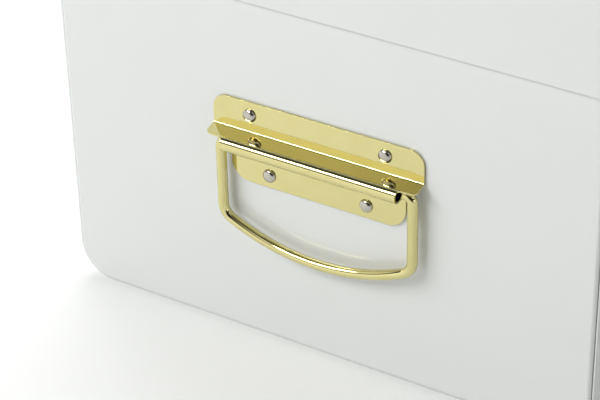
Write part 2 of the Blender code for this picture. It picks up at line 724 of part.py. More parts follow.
def make_tray(name, side, shelf, rail_top, height, lip_half, crosses):
    """A pan with lips at both ends, a long divider and crosses notched into it. Side is +1 at the back."""
    body_half = END_PLANE - WALL - shelf - TRAY_BODY_ROOM
    rim = rail_top + FIT + TRAY_SHEET
    floor = rim - height
    wall_side = side * (CASE_DEPTH / 2 - 2 * WALL - FIT - TRAY_SIDE_ROOM)
    near, far = sorted((side * TRAY_MIDDLE_ROOM, wall_side))
    frame = mount_frame(name, (0, 0, 0), 0)
    bm = folded_box(
        (-body_half, near, floor), (body_half, far, rim), [(2, 1)],
        [
            (lambda edge: abs(edge.verts[0].co.z - edge.verts[1].co.z) > height / 2, TRAY_CORNER, 4),
            (lambda edge: level(edge, 2, floor), TRAY_FOOT, 2),
        ],
    )
    for side in (-1, 1):
        edges = [edge for edge in bm.edges if level(edge, 2, rim) and level(edge, 0, side * body_half)]
        lip = bmesh.ops.extrude_edge_only(bm, edges=edges)
        verts = [item for item in lip["geom"] if isinstance(item, bmesh.types.BMVert)]
        bmesh.ops.translate(bm, verts=verts, vec=(side * (lip_half - body_half), 0, 0))
    pan = place(name + "_pan", to_mesh(bm, name + "_pan"), CREAM, frame)
    thicken(pan, TRAY_SHEET)
    inner_floor = floor + TRAY_SHEET + FIT
    divider_top = rim - DIVIDER_DROP
    inner_half = body_half - TRAY_SHEET - FIT
    line = near + (far - near) * LONG_DIVIDER_SHARE
    half_sheet = DIVIDER_SHEET / 2
    bm = bmesh.new()
    low = (-inner_half, line - half_sheet, inner_floor)
    add_box(bm, low, (inner_half, line + half_sheet, divider_top))
    long_divider = place(name + "_long_divider", to_mesh(bm, name + "_long_divider"), CREAM, frame)
    slots = []
    slot_half = half_sheet + FIT
    slot_foot = (inner_floor + divider_top) / 2
    for i in range(crosses):
        x = body_half * (2 * (i + 1) / (crosses + 1) - 1)
        label = name + "_cross_divider_" + str(i + 1)
        bm = bmesh.new()
        add_box(
            bm, (x - half_sheet, near + TRAY_SHEET + FIT, inner_floor),
            (x + half_sheet, far - TRAY_SHEET - FIT, divider_top),
        )
        cross = place(label, to_mesh(bm, label), CREAM, frame)
        low, high = (x - slot_half, line - slot_half), (x + slot_half, line + slot_half)
        carve(cross, [((*low, floor), (*high, slot_foot))], "slot_")
        slots.append(((*low, slot_foot - FIT), (*high, rim)))
    carve(long_divider, slots, "slot_")


def make_trays():
    upper_rail = SEAM_HEIGHT - UPPER_RAIL_DROP
    lower_rail = SEAM_HEIGHT - LOWER_RAIL_DROP
    for side, name in ((1, "right"), (-1, "left")):
        make_rail("upper_rail_" + name, side, upper_rail, UPPER_RAIL_SHELF)
        make_rail("lower_rail_" + name, side, lower_rail, LOWER_RAIL_SHELF)
    upper_lip = END_PLANE - WALL - FIT - RAIL_SHEET - TRAY_LIP_GRIP
    lower_lip = END_PLANE - WALL - UPPER_RAIL_SHELF - TRAY_LIP_GRIP
    make_tray(
        "upper_tray", 1, UPPER_RAIL_SHELF, upper_rail, UPPER_TRAY_HEIGHT, upper_lip, UPPER_CROSS_DIVIDERS
    )
    make_tray(
        "lower_tray", -1, LOWER_RAIL_SHELF, lower_rail, LOWER_TRAY_HEIGHT, lower_lip, LOWER_CROSS_DIVIDERS
    )


clear_scene()
PARTS = make_collection("sewing_box")
CUTTERS = make_collection("cutters")
WHITE = ((0.78, 0.79, 0.78), 0.12, 0.0)
CREAM = ((0.80, 0.79, 0.74), 0.25, 0.0)
GOLD = ((0.82, 0.68, 0.30), 0.15, 1.0)
NICKEL = ((0.66, 0.64, 0.60), 0.2, 1.0)
make_case()
make_lid()
make_handles()
make_hinges()
make_latches()
make_trays()
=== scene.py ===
"""Looks of the enamelled steel sewing box: sheet metal, plated fittings, trays, floor, light and camera.

World frame, in metres: +X is the box's long axis, -Y its front, +Z up, the origin under its middle.
Sheets are grids worked out with numpy, then given their thickness and rounded edges by modifiers.
"""

import json
import math

import bmesh
import bpy
import numpy as np
from mathutils import Matrix, Vector


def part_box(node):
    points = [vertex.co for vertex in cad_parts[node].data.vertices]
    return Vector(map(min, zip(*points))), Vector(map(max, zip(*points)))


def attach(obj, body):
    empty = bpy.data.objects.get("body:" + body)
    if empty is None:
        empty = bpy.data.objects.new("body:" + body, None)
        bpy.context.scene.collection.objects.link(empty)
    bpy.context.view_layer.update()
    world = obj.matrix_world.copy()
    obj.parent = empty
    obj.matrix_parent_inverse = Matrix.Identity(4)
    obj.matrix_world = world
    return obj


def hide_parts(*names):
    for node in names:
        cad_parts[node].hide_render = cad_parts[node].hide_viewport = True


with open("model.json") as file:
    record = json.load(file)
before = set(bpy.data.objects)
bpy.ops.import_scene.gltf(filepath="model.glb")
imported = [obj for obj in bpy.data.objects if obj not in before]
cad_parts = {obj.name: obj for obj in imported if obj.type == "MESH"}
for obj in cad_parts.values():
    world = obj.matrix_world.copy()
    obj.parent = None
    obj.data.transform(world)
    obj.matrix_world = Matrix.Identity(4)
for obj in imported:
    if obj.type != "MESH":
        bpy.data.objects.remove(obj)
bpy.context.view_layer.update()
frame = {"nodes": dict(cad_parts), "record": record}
MM = 0.001

# Steel sheet of the case and lid, and the gap that touching pieces keep
WALL = 1.0 * MM
FIT = 0.3 * MM
END_BEND = 1.8 * MM
CASE_CORNER = 18 * MM
LID_CORNER = 20 * MM
WALL_EDGE = 0.35 * MM

# Drop handle: pressed plate with a shelf, a fold and a barrel that holds the bail
PLATE_SHEET = 0.9 * MM
PLATE_HALF = 54.4 * MM
PLATE_ABOVE = 7.0 * MM
PLATE_CORNER = 7.4 * MM
PLATE_EDGE = 0.28 * MM
PLATE_BEND = 0.9 * MM
SHELF_DROP = 8.7 * MM
SHELF_RUN = 7.05 * MM
SHELF_SLOPE = 11.4
EAR_CORNER = 2.5 * MM
EAR_HOOK = 1.2 * MM
NOTCH_TURN = 4
BARREL_HALF = 45.4 * MM
FOOT_CORNER = 9.5 * MM
FOOT_LENGTH = 17.5 * MM
UPPER_RIVETS = 35.0 * MM
LOWER_RIVETS = 25.3 * MM
LOWER_RIVETS_DROP = 29.3 * MM
HANDLE_HEIGHT = 123 * MM
ROD = 2.5 * MM
ROUND_ROOM = 0.03 * MM
BARREL_RADIUS = ROD + FIT + PLATE_SHEET - ROUND_ROOM
BAIL_SETBACK = 2.9 * MM
BAIL_PLAY = 1.3 * MM
BAIL_HALF = 49.8 * MM
BAIL_DROP = 53.5 * MM
BAIL_ARC = 100 * MM
BAIL_CORNER = 8.5 * MM
BAIL_SHOULDER = 4.1 * MM
ROD_END = 6 * MM

# Rivets: dome radius, dome height, shank radius
HANDLE_RIVET = (3.35 * MM, 2.0 * MM, 1.6 * MM)
SMALL_RIVET = (2.5 * MM, 1.45 * MM, 1.2 * MM)
SMALL_SHANK_LENGTH = 2.2 * MM
RIVET_RIM = 0.25 * MM

# Hinges on the back
LID_PROUD = 1.4 * MM
SEAM_HEIGHT = 181 * MM
HINGE_SPREAD = 115 * MM
FITTING_SHEET = 1.0 * MM
FITTING_EDGE = 0.22 * MM
HINGE_HALF = 22 * MM
FITTING_CORNER = 3 * MM
KNUCKLE_HALF = 7.5 * MM
PIN_RADIUS = 1.1 * MM
HINGE_DROP = 3 * MM
LEAF_LENGTH = 22 * MM
LID_LEAF_TOP = 25 * MM
KNUCKLE_ROLL = 290
KNUCKLE_ROOM = 0.8 * MM
JOGGLE_ROOM = 1.6 * MM
JOGGLE_RUN = 2 * MM

# Draw latches on the front
LATCH_SPREAD = 95 * MM
LATCH_DROP = 17 * MM
BASE_HALF = 11 * MM
BASE_BELOW = 27 * MM
BASE_ABOVE = 6 * MM
LATCH_PIN_OUT = 5.5 * MM
LATCH_PIN = 1.2 * MM
LUG_INNER = 6 * MM
LUG_RADIUS = 2.2 * MM
LUG_EDGE = 0.2 * MM
LEVER_HALF = 9 * MM
LEVER_BELOW = 31 * MM
LEVER_ABOVE = 2.2 * MM
LEVER_CHEEK = 11 * MM
LEVER_REACH = 3.5 * MM
LEVER_BACK = 2.3 * MM
LEVER_BEND = 1.2 * MM
LEVER_RAMP = 5 * MM
LEVER_EDGE = 0.25 * MM
CHEEK_DEPTH = 2.2 * MM
LOOP_WIRE = 1.0 * MM
LOOP_PIVOT_OUT = 4.2 * MM
LOOP_PIVOT_DROP = 6.5 * MM
LOOP_CORNER = 3 * MM
LOOP_SIDE_ROOM = 0.9 * MM
LOOP_STAND_OFF = 0.5 * MM
BAR_OVER_HOOK = 1 * MM
CATCH_HALF = 8 * MM
CATCH_TOP = 22 * MM
HOOK_RADIUS = 1.3 * MM
HOOK_LIP = 3 * MM
HOOK_RISE = 6 * MM
CATCH_SKIN = LID_PROUD + FIT + FITTING_SHEET
HOOK_HEIGHT = HOOK_RISE + LATCH_DROP

# Trays and rails
TRAY_SHEET = 0.8 * MM
TRAY_CORNER = 4 * MM
TRAY_FOOT = 1.5 * MM
PAN_EDGE = 0.2 * MM
RAIL_BEND = 1.5 * MM
RAIL_EDGE = 0.25 * MM
DIVIDER_SHEET = 0.8 * MM
DIVIDER_EDGE = 0.18 * MM
PAN_HALF = {"upper_tray_pan": 180 * MM, "lower_tray_pan": 172 * MM}

# Studio: the sky's brightness by height, where 0 is straight down, 0.5 level and 1 straight up
SKY_BANDS = [
    (0.0, 0.8), (0.50, 1.0), (0.56, 1.5), (0.625, 1.5), (0.645, 0.04), (0.70, 0.04), (0.74, 1.0),
    (0.892, 0.95), (0.905, 0.05), (1.0, 0.12),
]
DARK_PATCH_TOWARD = (0.80, 0.48, 0.36)
FLOOR_HALF = 6.0
CAMERA_AT = (0.9185, 0.4378, 0.6520)
CAMERA_YAW = 31.58
CAMERA_PITCH = 33.56
CAMERA_ROLL = -1.33
CAMERA_LENS = 134.96

# Depth of the relief that the finishes' bumps stand for
BUMP_DEPTH = 0.05 * MM


# ---------------------------------------------------------------- finishes

def linear(code):
    """An sRGB hex colour as linear values."""
    part = np.array([int(code[i:i + 2], 16) for i in (1, 3, 5)]) / 255
    return (*np.where(part <= 0.04045, part / 12.92, ((part + 0.055) / 1.055) ** 2.4), 1.0)


def node(tree, kind, settings=None, **links):
    """Adds a node, sets its attributes and sockets, and links its inputs by name."""
    made = tree.nodes.new(kind)
    for key, value in (settings or {}).items():
        if hasattr(made, key):
            setattr(made, key, value)
        else:
            made.inputs[key].default_value = value
    for key, source in links.items():
        tree.links.new(source, made.inputs[key.replace("_", " ")])
    return made


def finish(name, colour, metallic, roughness, **sockets):
    """A material with a Principled shader, which the caller then gives its pattern."""
    made = bpy.data.materials.new(name)
    made.use_nodes = True
    made.diffuse_color = linear(colour)
    shader = made.node_tree.nodes["Principled BSDF"]
    shader.inputs["Base Color"].default_value = linear(colour)
    shader.inputs["Metallic"].default_value = metallic
    shader.inputs["Roughness"].default_value = roughness
    for key, value in sockets.items():
        shader.inputs[key.replace("_", " ")].default_value = value
    return made, made.node_tree, shader


def shade_between(tree, shader, factor, first, second):
    """Mixes two hex colours by a 0 to 1 value and feeds the shader's base colour."""
    blend = node(tree, "ShaderNodeMix", {"data_type": "RGBA"})
    blend.inputs[6].default_value = linear(first)
    blend.inputs[7].default_value = linear(second)
    tree.links.new(factor, blend.inputs[0])
    tree.links.new(blend.outputs[2], shader.inputs["Base Color"])


def vary_roughness(tree, shader, factor, low, high):
    """Moves the roughness between two values by a 0 to 1 value."""
    span = node(tree, "ShaderNodeMapRange", {"To Min": low, "To Max": high}, Value=factor)
    tree.links.new(span.outputs[0], shader.inputs["Roughness"])


def noise(tree, place, width, detail):
    """Soft noise in the piece's own space, with patches of about that width."""
    settings = {"Scale": 1 / width, "Detail": detail}
    return node(tree, "ShaderNodeTexNoise", settings, Vector=place.outputs["Object"]).outputs["Fac"]


def relief(tree, height, strength):
    """A bump of BUMP_DEPTH, as a normal."""
    settings = {"Strength": strength, "Distance": BUMP_DEPTH}
    return node(tree, "ShaderNodeBump", settings, Height=height).outputs[0]


def stove_enamel(name, light, shadow, gloss):
    """Sprayed and stoved enamel on steel: a clear, wet-looking gloss over a faint orange peel.

    The peel's bumps are 2.5 mm across, as a sprayed coat's are, and cloudy patches 60 mm wide
    shift the white by a few parts in a hundred.
    """
    made, tree, shader = finish(name, light, 0, gloss, IOR=1.5, Coat_Weight=0.35, Coat_Roughness=0.04)
    place = node(tree, "ShaderNodeTexCoord")
    cloud = noise(tree, place, 60 * MM, 3.0)
    shade_between(tree, shader, cloud, light, shadow)
    vary_roughness(tree, shader, cloud, gloss * 0.85, gloss * 1.25)
    peel = relief(tree, noise(tree, place, 2.5 * MM, 1.0), 0.05)
    tree.links.new(peel, shader.inputs["Normal"])
    tree.links.new(peel, shader.inputs["Coat Normal"])
    return made


def plated(name, colour, worn, roughness, ripple, pit_size):
    """Bright plating on pressed steel: mirror-like, with the sheet's soft ripple and fine polishing haze.

    The ripple is pit_size across; the haze, 9 mm wide, moves the roughness a little so that long
    reflections break up as they do on real plate.
    """
    made, tree, shader = finish(name, colour, 1, roughness)
    place = node(tree, "ShaderNodeTexCoord")
    haze = noise(tree, place, 9 * MM, 4.0)
    shade_between(tree, shader, haze, colour, worn)
    vary_roughness(tree, shader, haze, roughness * 0.6, roughness * 1.5)
    pits = relief(tree, noise(tree, place, pit_size, 2.0), ripple)
    tree.links.new(pits, shader.inputs["Normal"])
    return made


ENAMEL = stove_enamel("white_stove_enamel_on_steel", "#DCDEDC", "#D8DAD8", 0.14)
TRAY_ENAMEL = stove_enamel("satin_cream_enamel_on_steel", "#E8E6DC", "#E1DFD3", 0.3)
BRASS = plated("bright_brass_plate_on_steel", "#DAD29A", "#D3C98C", 0.05, 0.08, 3 * MM)
NICKEL = plated("nickel_plated_rivet_steel", "#C9C4BB", "#B4AEA3", 0.16, 0.12, 1.5 * MM)
FINISHES = {
    "white_enamel": ENAMEL, "tray_enamel": TRAY_ENAMEL, "gilt_plate": BRASS, "nickel_plate": NICKEL,
}
SLOTS = {part["node"]: part["material_slot"] for part in frame["record"]["subparts"]}


# ---------------------------------------------------------------- shapes

def arc(centre, radius, start, end, steps):
    """Points at equal angles round a centre, from start to end in degrees."""
    turn = np.radians(np.linspace(start, end, steps + 1))
    return np.stack([centre[0] + radius * np.cos(turn), centre[1] + radius * np.sin(turn)], axis=1)


def grid_faces(rows, columns, around=False):
    """Quads of a grid: each joins a point and its right neighbour to the two points in the next row."""
    index = np.arange(rows * columns).reshape(rows, columns)
    if around:
        index = np.hstack([index, index[:, :1]])
    corners = [index[:-1, :-1], index[1:, :-1], index[1:, 1:], index[:-1, 1:]]
    return np.stack(corners, axis=-1)


def body_of(cad_node):
    """The body that a CAD node moves with."""
    bodies = frame["record"]["behaviour"]["bodies"]
    return next(name for name, members in bodies.items() if cad_node in members)


def piece(name, points, faces, cad_node, away_from=None, sheet=0.0, edge=0.0, angle=35):
    """A mesh in world place that replaces one CAD node, with its finish, thickness and rounded edges.

    Faces look away from the point away_from; a closed shape leaves it out and is set outward.
    """
    mesh = bpy.data.meshes.new(name)
    mesh.from_pydata(points.reshape(-1, 3).tolist(), [], faces)
    bm = bmesh.new()
    bm.from_mesh(mesh)
    bmesh.ops.remove_doubles(bm, verts=bm.verts, dist=1e-7)
    bmesh.ops.recalc_face_normals(bm, faces=bm.faces)
    if away_from is not None:
        middle = Vector(away_from)
        lean = 0
        for face in bm.faces:
            lean += face.normal.dot(face.calc_center_median() - middle) * face.calc_area()
        if lean < 0:
            bmesh.ops.reverse_faces(bm, faces=bm.faces)
    bm.to_mesh(mesh)
    bm.free()
    mesh.shade_smooth()
    mesh.set_sharp_from_angle(angle=math.radians(angle))
    made = bpy.data.objects.new(name, mesh)
    bpy.context.scene.collection.objects.link(made)
    mesh.materials.append(FINISHES[SLOTS[cad_node]])
    if sheet:
        wall = made.modifiers.new("sheet", "SOLIDIFY")
        wall.thickness = sheet
        wall.offset = -1
        wall.use_even_offset = True
    if edge:
        round_edge = made.modifiers.new("edge", "BEVEL")
        round_edge.width = edge
        round_edge.segments = 3
        round_edge.limit_method = "ANGLE"
        round_edge.angle_limit = math.radians(50)
        round_edge.harden_normals = True
    even = made.modifiers.new("shading", "WEIGHTED_NORMAL")
    even.keep_sharp = True
    even.weight = 80
    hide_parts(cad_node)
    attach(made, body_of(cad_node))


def moved(points, matrix):
    """Points carried from a fitting's frame into the world."""
    turn = np.array(matrix)
    return points.reshape(-1, 3) @ turn[:3, :3].T + turn[:3, 3]


def seat(x, y, z, turn):
    """A fitting's frame: its x leaves the wall whose heading from +X is turn, in degrees."""
    return Matrix.Translation((x, y, z)) @ Matrix.Rotation(math.radians(turn), 4, "Z")


def strip(profile, half, columns=2):
    """A bent strip: the (out, up) profile carried along y, as wide as half says at each profile point."""
    share = np.linspace(-1, 1, columns)
    out = np.repeat(profile[:, 0:1], columns, axis=1)
    up = np.repeat(profile[:, 1:2], columns, axis=1)
    return np.stack([out, half[:, None] * share[None, :], up], axis=-1)


def rounded_end(out, end, toward, half, radius, steps=14):
    """The end of a strip with two quarter-round corners, as (profile, half widths) from its tip inwards."""
    angle = np.radians(np.linspace(0, 90, steps + 1))
    up = end + toward * radius * (1 - np.cos(angle))
    return np.stack([np.full_like(up, out), up], axis=1), half - radius * (1 - np.sin(angle))


def joined(*parts):
    """Joins (profile, half width) runs; a single width is repeated along its profile."""
    profiles = [np.atleast_2d(profile) for profile, _ in parts]
    halves = [np.broadcast_to(half, (len(profile),)) for profile, (_, half) in zip(profiles, parts)]
    return np.concatenate(profiles), np.concatenate(halves)


def tube(path, radius, sides=28):
    """A round rod: circles of that radius square to the path, whose ends close on a shallow dome.

    The path lies in a plane of constant x, so x and the path's normal in that plane span each circle.
    """
    ahead = np.gradient(path, axis=0)
    ahead /= np.linalg.norm(ahead, axis=1)[:, None]
    across = np.stack([np.zeros(len(path)), -ahead[:, 2], ahead[:, 1]], axis=1)
    turn = np.linspace(0, 2 * np.pi, sides, endpoint=False)
    cosine, sine = np.cos(turn)[None, :, None], np.sin(turn)[None, :, None]
    ring = cosine * np.array([1.0, 0, 0]) + sine * across[:, None, :]
    body = path[:, None, :] + radius * ring
    caps = []
    for end, sign in ((0, -1), (-1, 1)):
        lean = np.radians(np.array([30, 60, 80]))
        centre = path[end] + sign * ahead[end] * radius * 0.4 * np.sin(lean)[:, None]
        caps.append(centre[:, None, :] + radius * np.cos(lean)[:, None, None] * ring[end][None])
    rings = np.concatenate([caps[0][::-1], body, caps[1]])
    faces = grid_faces(len(rings), sides, around=True).reshape(-1, 4).tolist()
    last = (len(rings) - 1) * sides
    faces += [list(range(sides)), list(range(last, last + sides))]
    return rings, faces


def turned(profile, sides=40):
    """A lathe shape: the (radius, height) profile turned about z, its two end points on the axis."""
    turn = np.linspace(0, 2 * np.pi, sides, endpoint=False)
    rings = profile[1:-1]
    round_part = np.stack([
        rings[:, 0:1] * np.cos(turn), rings[:, 0:1] * np.sin(turn), np.repeat(rings[:, 1:2], sides, axis=1)
    ], axis=-1).reshape(-1, 3)
    poles = np.array([[0, 0, profile[0, 1]], [0, 0, profile[-1, 1]]])
    faces = grid_faces(len(rings), sides, around=True).reshape(-1, 4).tolist()
    around = np.arange(sides)
    top = len(round_part)
    foot = (len(rings) - 1) * sides
    fan = np.stack([np.full(sides, top), around, np.roll(around, -1)], axis=1)
    under = np.stack([np.full(sides, top + 1), foot + around, foot + np.roll(around, -1)], axis=1)
    return np.concatenate([round_part, poles]), faces + fan.tolist() + under.tolist()


# ---------------------------------------------------------------- case and lid

def u_path(half, foot, top, corner, steps=16):
    """A U outline as (y, z), and its outward normals, from (-half, top) round the foot to (half, top).

    Straight side, quarter circle, straight foot, quarter circle and straight side.
    """
    toward = 1 if top > foot else -1
    left = arc((0, 0), 1, 180, 270, steps)
    right = arc((0, 0), 1, 270, 360, steps)
    normals = np.concatenate([[[-1, 0]], left, right, [[1, 0]]])
    centre_z = foot + toward * corner
    centres = np.concatenate([
        [[-half + corner, top]], np.tile([-half + corner, centre_z], (steps + 1, 1)),
        np.tile([half - corner, centre_z], (steps + 1, 1)), [[half - corner, top]],
    ])
    if toward < 0:
        normals = normals * [1, -1]
    return centres + corner * normals, normals


def make_wrap(name, half_length, half, foot, top, corner):
    """The body sheet: the U outline carried along x."""
    outline, _ = u_path(half, foot, top, corner)
    along = np.array([-half_length, half_length])
    points = np.stack(np.broadcast_arrays(
        along[None, :], outline[:, 0:1], outline[:, 1:2]), axis=-1)
    faces = grid_faces(len(outline), 2).reshape(-1, 4).tolist()
    piece(name + "_sheet", points, faces, name, (0, 0, (foot + top) / 2), WALL, WALL_EDGE)


def make_end(name, side, plane, half, foot, top, corner, flange_end, flange_from=None):
    """A dished end: a flat panel, a quarter-round bend along the U outline, and an inward flange.

    At bend angle t a point lies bend * (1 - sin t) inside the outline and bend * (1 - cos t) behind
    the panel. A flange_from height starts the flange there, clear of what it fits over.
    """
    outline, normals = u_path(half, foot, top, corner)
    if flange_from is not None:
        cut = np.array([[-half, flange_from], [half, flange_from]])
        outline = np.concatenate([outline[:1], cut[:1], outline[1:-1], cut[1:], outline[-1:]])
        normals = np.concatenate([normals[:1], normals[:1], normals[1:-1], normals[-1:], normals[-1:]])
    bend = np.radians(np.linspace(0, 90, 10))
    inset = END_BEND * (1 - np.sin(bend))
    depth = END_BEND * (1 - np.cos(bend))
    inset = np.append(inset, 0)
    depth = np.append(depth, plane - flange_end)
    flat = outline[None] - inset[:, None, None] * normals[None]
    x = np.broadcast_to((side * (plane - depth))[:, None, None], (*flat.shape[:2], 1))
    points = np.concatenate([x, flat], axis=-1)
    quads = grid_faces(*flat.shape[:2])
    if flange_from is not None:
        quads[-1, 0] = quads[-1, 1]
        quads[-1, -1] = quads[-1, -2]
    faces = np.unique(quads.reshape(-1, 4), axis=0).tolist()
    panel = list(range(flat.shape[1]))
    piece(name + "_panel", points, faces + [panel], name, (0, 0, (foot + top) / 2), WALL, WALL_EDGE)


def make_shell():
    """The case and the lid: a wrap and two dished ends each, sized from their CAD boxes."""
    low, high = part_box("case_wrap")
    rim = high.z
    make_wrap("case_wrap", high.x, high.y, low.z, rim, CASE_CORNER)
    case_dish = high.y - WALL - FIT
    inside = WALL + FIT
    lid_low, lid_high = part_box("lid_wrap")
    make_wrap("lid_wrap", lid_high.x, lid_high.y, lid_high.z, lid_low.z, LID_CORNER)
    lid_dish = lid_high.y - WALL - FIT
    for side, name in ((1, "right"), (-1, "left")):
        near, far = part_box("case_end_" + name)
        plane, flange = sorted((abs(near.x), abs(far.x)))[::-1]
        make_end("case_end_" + name, side, plane, case_dish, near.z, rim, CASE_CORNER - inside, flange)
        near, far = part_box("lid_end_" + name)
        plane, flange = sorted((abs(near.x), abs(far.x)))[::-1]
        make_end(
            "lid_end_" + name, side, plane, lid_dish, far.z, near.z, LID_CORNER - inside, flange, rim + FIT
        )


# ---------------------------------------------------------------- drop handles

def shelf_edge():
    """The shelf's outer edge, as (out, up): the valley's bend, then SHELF_RUN down the slope."""
    slope = math.radians(SHELF_SLOPE)
    out = FIT + PLATE_SHEET + PLATE_BEND * (1 - math.sin(slope)) + SHELF_RUN * math.cos(slope)
    return np.array([out, -SHELF_DROP + PLATE_BEND * (1 - math.cos(slope)) - SHELF_RUN * math.sin(slope)])


def handle_section():
    """The plate's outer face from its top edge down, its half width at each point, and the bail's axis.

    Flat flange, tight valley, sloping shelf with its ears, half-round barrel front, heel and flat foot.
    """
    front = FIT + PLATE_SHEET
    slope = math.radians(SHELF_SLOPE)
    down = np.array([math.cos(slope), -math.sin(slope)])
    valley = arc((front + PLATE_BEND, -SHELF_DROP + PLATE_BEND), PLATE_BEND, 180, 270 - SHELF_SLOPE, 12)
    edge = shelf_edge()
    ear_turn = np.radians(np.linspace(0, 90, 15))
    ear = edge - EAR_CORNER * (1 - np.sin(ear_turn))[:, None] * down
    ear_half = PLATE_HALF - EAR_CORNER * (1 - np.cos(ear_turn))
    middle = edge - BARREL_RADIUS * np.array([math.sin(slope), math.cos(slope)])
    roll = arc(middle, BARREL_RADIUS, 90 - SHELF_SLOPE - NOTCH_TURN, -90, 48)
    roll_half = BARREL_HALF + EAR_HOOK * (1 - np.sin(np.clip(np.linspace(0, 12, 49), 0, 1) * np.pi / 2))
    heel = (front + PLATE_BEND, middle[1] - BARREL_RADIUS - PLATE_BEND)
    foot_end, foot_half = rounded_end(front, heel[1] - FOOT_LENGTH, 1, BARREL_HALF, FOOT_CORNER)
    profile, half = joined(
        rounded_end(front, PLATE_ABOVE, -1, PLATE_HALF, PLATE_CORNER),
        (valley, PLATE_HALF), (ear, ear_half), (roll, roll_half),
        (arc(heel, PLATE_BEND, 90, 180, 8), BARREL_HALF), (foot_end[::-1], foot_half[::-1]),
    )
    return profile, half, middle - [BAIL_SETBACK, 0]


def bail_path(out, up):
    """The bail's centre line: rod end, shoulder, leg, corner and half of the bow, then its mirror."""
    bow = (0, BAIL_ARC - BAIL_DROP)
    corner_y = BAIL_HALF - BAIL_CORNER
    corner_z = bow[1] - math.sqrt((BAIL_ARC - BAIL_CORNER) ** 2 - corner_y**2)
    turn = math.degrees(math.atan2(corner_z - bow[1], corner_y))
    shoulder = arc((BAIL_HALF - BAIL_SHOULDER, -BAIL_SHOULDER), BAIL_SHOULDER, 90, 0, 14)
    corner = arc((corner_y, corner_z), BAIL_CORNER, 0, turn, 14)
    rod = np.stack([np.linspace(ROD_END, shoulder[0, 0] - 1 * MM, 12), np.zeros(12)], axis=1)
    leg = np.stack([np.full(6, BAIL_HALF), np.linspace(shoulder[-1, 1], corner[0, 1], 8)[1:-1]], axis=1)
    grip = arc(bow, BAIL_ARC, turn, -90, 30)[1:]
    side = np.concatenate([rod, shoulder, leg, corner, grip])
    whole = np.concatenate([side, side[-2::-1] * [-1, 1]])
    return np.stack([np.full(len(whole), out), whole[:, 0] + BAIL_PLAY, whole[:, 1] + up], axis=1)


def rivet_profile(dome, height, shank, length):
    """A shallow dome with a small rolled rim, then its shank."""
    turn = np.radians(np.linspace(90, 0, 16))
    crown = np.stack([dome * np.cos(turn), RIVET_RIM + (height - RIVET_RIM) * np.sin(turn)], axis=1)
    rim = [[dome * 0.985, 0.06 * MM], [dome * 0.94, 0]]
    return np.concatenate([crown, rim, [[shank, 0], [shank, -length], [0, -length]]])


def make_rivet(cad_node, matrix, sizes, length):
    """A rivet whose head stands along the x of the frame that it is given."""
    points, faces = turned(rivet_profile(*sizes, length))
    up = matrix @ Matrix.Rotation(math.radians(90), 4, "Y")
    piece(cad_node + "_dome", moved(points, up), faces, cad_node, angle=50)


def make_handles():
    """Both drop handles: the pressed plate, the bent rod and four rivets."""
    profile, half, axis = handle_section()
    plate = strip(profile, half)
    faces = grid_faces(len(profile), 2).reshape(-1, 4).tolist()
    rod, rod_faces = tube(bail_path(*axis), ROD)
    end_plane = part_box("case_end_right")[1].x
    grip = WALL + FIT + PLATE_SHEET
    spots = [(-UPPER_RIVETS, 0), (UPPER_RIVETS, 0)]
    spots += [(-LOWER_RIVETS, -LOWER_RIVETS_DROP), (LOWER_RIVETS, -LOWER_RIVETS_DROP)]
    for side, name, turn in ((1, "right", 0), (-1, "left", 180)):
        at = seat(side * end_plane, 0, HANDLE_HEIGHT, turn)
        label = "handle_" + name
        piece(
            label + "_pressed_plate", moved(plate, at), faces, label + "_plate",
            at.translation, PLATE_SHEET, PLATE_EDGE,
        )
        piece(label + "_bent_rod", moved(rod, at), rod_faces, label + "_bail")
        for number, (y, z) in enumerate(spots, 1):
            on_plate = at @ Matrix.Translation((FIT + PLATE_SHEET, y, z))
            make_rivet(label + "_rivet_" + str(number), on_plate, HANDLE_RIVET, grip)


def gapped(points, keep):
    """The quads of a grid of points, less those that the keep table leaves out."""
    quads = grid_faces(*points.shape[:2])
    return quads[keep].reshape(-1, 4).tolist()


def make_pin(cad_node, matrix, radius, half):
    """A pin along y: a straight shank whose two ends are rounded off over a fifth of its radius."""
    turn = np.radians(np.linspace(90, 0, 6))
    soft = radius * 0.2
    top = np.stack([radius - soft + soft * np.cos(turn), half - soft + soft * np.sin(turn)], axis=1)
    profile = np.concatenate([[[0, half]], top, top[::-1] * [1, -1], [[0, -half]]])
    points, faces = turned(profile)
    along = matrix @ Matrix.Rotation(math.radians(90), 4, "X")
    piece(cad_node + "_turned", moved(points, along), faces, cad_node, angle=50)


# ---------------------------------------------------------------- hinges

def leaf_grid(profile, half, inner, is_case, notch):
    """A hinge leaf: four columns at -half, -inner, inner and half, with the other leaf's knuckle left out.

    Within notch of the pin, the case's leaf keeps its outer columns and the lid's leaf its middle one.
    """
    columns = [-half, np.full_like(half, -inner), np.full_like(half, inner), half]
    y = np.stack(columns, axis=1)
    out = np.repeat(profile[:, 0:1], 4, axis=1)
    up = np.repeat(profile[:, 1:2], 4, axis=1)
    points = np.stack([out, y, up], axis=-1)
    middle = (profile[:-1, 1] + profile[1:, 1]) / 2
    near = np.abs(middle) < notch
    keep = np.ones((len(profile) - 1, 3), bool)
    keep[near, 1] = not is_case
    keep[near, 0] = is_case
    keep[near, 2] = is_case
    return points, gapped(points, keep)


